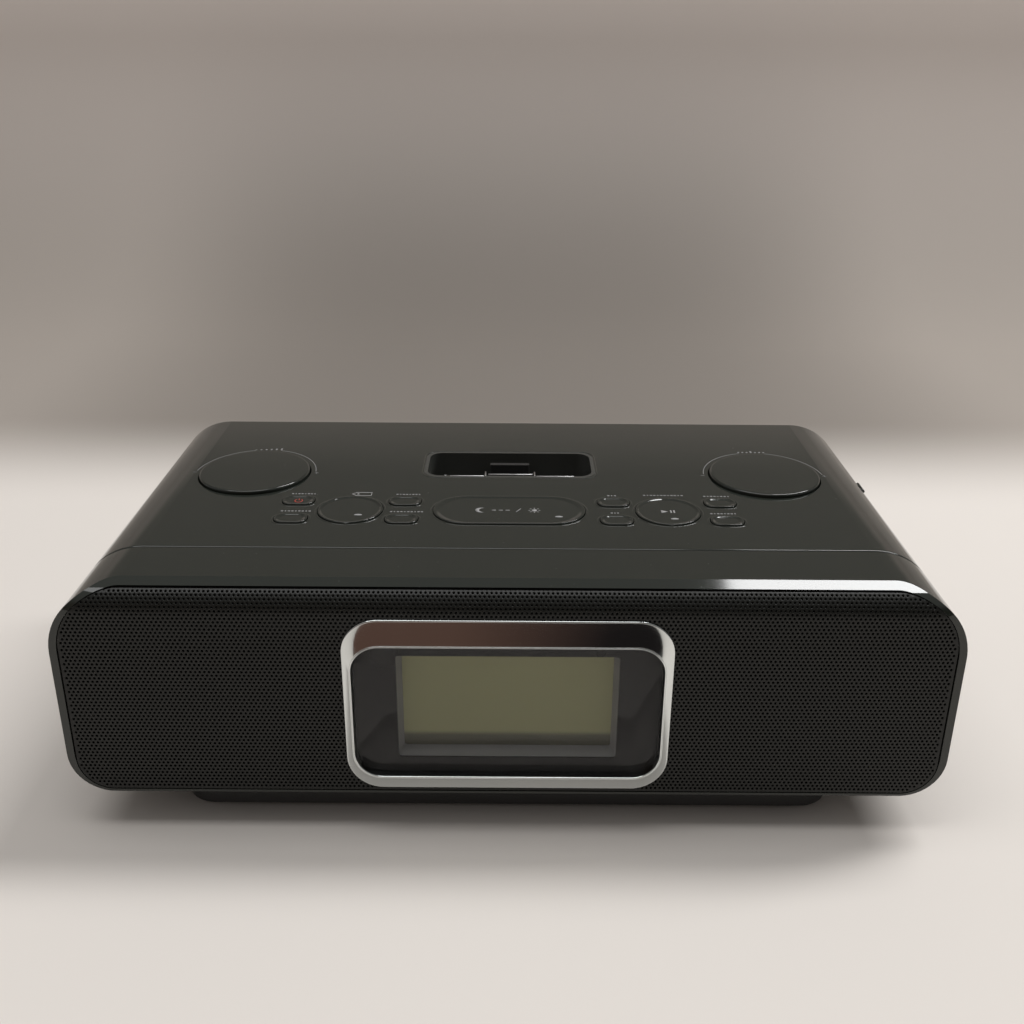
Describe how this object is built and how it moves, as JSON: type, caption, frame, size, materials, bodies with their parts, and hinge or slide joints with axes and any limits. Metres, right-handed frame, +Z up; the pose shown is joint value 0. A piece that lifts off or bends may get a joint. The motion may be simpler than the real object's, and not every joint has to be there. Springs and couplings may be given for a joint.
{
  "type": "clock radio",
  "caption": "Table clock radio with a dock well, snooze bar, keys and two knobs on top, and a grille round a chrome-framed display.",
  "frame": {"origin": "on the table, under the middle of the whole object", "axes": "+X to the right seen from the front, +Y from the front to the rear, +Z up"},
  "size_m": [0.305, 0.1692, 0.0957],
  "materials": {
    "gloss_black": "moulded black plastic with a semi-gloss skin",
    "satin_black": "fine textured black plastic",
    "grille_black": "perforated sheet, satin black paint",
    "chrome_trim": "bright plated plastic",
    "lens_clear": "clear polished window",
    "lens_black": "black print behind the window",
    "frame_grey": "smooth mid grey plastic",
    "lcd_glass": "greenish grey liquid crystal glass",
    "light_guide": "white light guide",
    "circuit_board": "green board with solder mask",
    "foot_rubber": "soft black rubber",
    "steel": "bright zinc-plated steel",
    "magnet_grey": "dark ferrite",
    "cone_paper": "pulp cone with a foam surround",
    "heat_sink": "extruded aluminium",
    "part_black": "moulded component body",
    "cell_wrap": "plain printed wrap"
  },
  "bodies": {
    "cabinet": {"aerial_jack": "part_black", "aerial_jack_pin": "steel", "aux_jack": "part_black", "backup_cells": "cell_wrap", "battery_contacts": "steel", "bottom_cabinet": "satin_black", "capacitors": "part_black", "case_screws": "steel", "display_bezel": "chrome_trim", "display_board": "circuit_board", "display_lens": "lens_clear", "dock_board": "circuit_board", "dock_connector": "satin_black", "dock_well": "gloss_black", "front_frame": "gloss_black", "front_left_foot": "foot_rubber", "front_right_foot": "foot_rubber", "grille": "grille_black", "heat_sink": "heat_sink", "key_board": "circuit_board", "key_switches": "part_black", "lcd_frame": "frame_grey", "lcd_panel": "lcd_glass", "left_speaker_basket": "steel", "left_speaker_cone": "cone_paper", "left_speaker_magnet": "magnet_grey", "lens_mask": "lens_black", "light_guide": "light_guide", "main_board": "circuit_board", "power_jack": "part_black", "power_jack_pin": "steel", "rear_left_foot": "foot_rubber", "rear_panel": "satin_black", "rear_right_foot": "foot_rubber", "right_speaker_basket": "steel", "right_speaker_cone": "cone_paper", "right_speaker_magnet": "magnet_grey", "shoulder_stud": "gloss_black", "speaker_baffle": "satin_black", "tuner_can": "steel", "tuning_encoder": "steel", "upper_cabinet": "gloss_black", "volume_encoder": "steel"},
    "volume_control": {"volume_knob": "gloss_black", "volume_shaft": "steel"},
    "tuning_control": {"tuning_knob": "gloss_black", "tuning_shaft": "steel"},
    "power_key": {"power_key": "gloss_black"},
    "wake_key": {"wake_key": "gloss_black"},
    "preset_key": {"preset_key": "gloss_black"},
    "program_key": {"program_key": "gloss_black"},
    "set_key": {"set_key": "gloss_black"},
    "tone_key": {"tone_key": "gloss_black"},
    "alarm_one_key": {"alarm_one_key": "gloss_black"},
    "alarm_two_key": {"alarm_two_key": "gloss_black"},
    "tag_key": {"tag_key": "gloss_black"},
    "play_key": {"play_key": "gloss_black"},
    "snooze_bar": {"snooze_bar": "gloss_black"},
    "battery_cover": {"battery_door": "satin_black"}
  },
  "joints": [
    {"name": "volume_turn", "type": "hinge", "parent": "cabinet", "child": "volume_control", "pos_m": [-0.1038, 0.0204, 0.0943], "axis": [0, 0, 1], "continuous": true},
    {"name": "tuning_turn", "type": "hinge", "parent": "cabinet", "child": "tuning_control", "pos_m": [0.1038, 0.0204, 0.0943], "axis": [0, 0, 1], "continuous": true},
    {"name": "power_key_press", "type": "slide", "parent": "cabinet", "child": "power_key", "axis": [0, 0, -1], "range_m": [0, 0.0007], "stiffness_N_per_m": 900, "springref_m": -0.0008},
    {"name": "wake_key_press", "type": "slide", "parent": "cabinet", "child": "wake_key", "axis": [0, 0, -1], "range_m": [0, 0.0007], "stiffness_N_per_m": 900, "springref_m": -0.0008},
    {"name": "preset_key_press", "type": "slide", "parent": "cabinet", "child": "preset_key", "axis": [0, 0, -1], "range_m": [0, 0.0007], "stiffness_N_per_m": 900, "springref_m": -0.0008},
    {"name": "program_key_press", "type": "slide", "parent": "cabinet", "child": "program_key", "axis": [0, 0, -1], "range_m": [0, 0.0007], "stiffness_N_per_m": 900, "springref_m": -0.0008},
    {"name": "set_key_press", "type": "slide", "parent": "cabinet", "child": "set_key", "axis": [0, 0, -1], "range_m": [0, 0.0007], "stiffness_N_per_m": 900, "springref_m": -0.0008},
    {"name": "tone_key_press", "type": "slide", "parent": "cabinet", "child": "tone_key", "axis": [0, 0, -1], "range_m": [0, 0.0007], "stiffness_N_per_m": 900, "springref_m": -0.0008},
    {"name": "alarm_one_key_press", "type": "slide", "parent": "cabinet", "child": "alarm_one_key", "axis": [0, 0, -1], "range_m": [0, 0.0007], "stiffness_N_per_m": 900, "springref_m": -0.0008},
    {"name": "alarm_two_key_press", "type": "slide", "parent": "cabinet", "child": "alarm_two_key", "axis": [0, 0, -1], "range_m": [0, 0.0007], "stiffness_N_per_m": 900, "springref_m": -0.0008},
    {"name": "tag_key_press", "type": "slide", "parent": "cabinet", "child": "tag_key", "axis": [0, 0, -1], "range_m": [0, 0.0007], "stiffness_N_per_m": 900, "springref_m": -0.0008},
    {"name": "play_key_press", "type": "slide", "parent": "cabinet", "child": "play_key", "axis": [0, 0, -1], "range_m": [0, 0.0007], "stiffness_N_per_m": 900, "springref_m": -0.0008},
    {"name": "snooze_bar_press", "type": "slide", "parent": "cabinet", "child": "snooze_bar", "axis": [0, 0, -1], "range_m": [0, 0.0007], "stiffness_N_per_m": 1200, "springref_m": -0.0008},
    {"name": "battery_door_slide", "type": "slide", "parent": "cabinet", "child": "battery_cover", "axis": [0, 1, 0], "range_m": [0, 0.034]}
  ]
}
